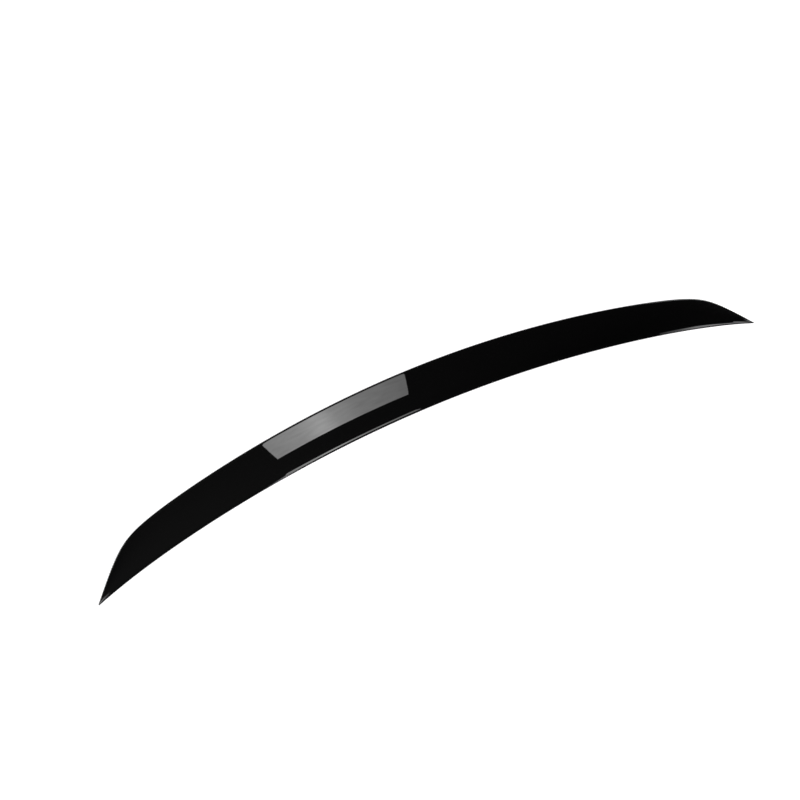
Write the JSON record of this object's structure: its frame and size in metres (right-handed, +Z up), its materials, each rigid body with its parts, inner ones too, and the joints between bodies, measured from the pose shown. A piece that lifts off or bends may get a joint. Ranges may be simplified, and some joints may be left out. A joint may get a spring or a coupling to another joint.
{
  "type": "car rear spoiler",
  "caption": "Slim boomerang-shaped rear spoiler for a trunk lid: a gloss black moulding with an upswept lip, hollow and ribbed beneath, on foam mounting tape.",
  "frame": {"origin": "middle of the part's footprint, in the plane that the release films rest on", "axes": "X across the car, +Y to the rear (towards the trailing lip), +Z up"},
  "size_m": [1.2, 0.1634, 0.0231],
  "materials": {
    "gloss_black_abs": "polished piano black",
    "foam_tape": "matt closed-cell foam",
    "release_film": "thin satin red film"
  },
  "bodies": {
    "root": {"spoiler_shell": "gloss_black_abs", "front_tape_left": "foam_tape", "front_tape_right": "foam_tape", "rear_tape_left": "foam_tape", "rear_tape_right": "foam_tape", "front_film_left": "release_film", "front_film_right": "release_film", "rear_film_left": "release_film", "rear_film_right": "release_film"}
  },
  "joints": []
}
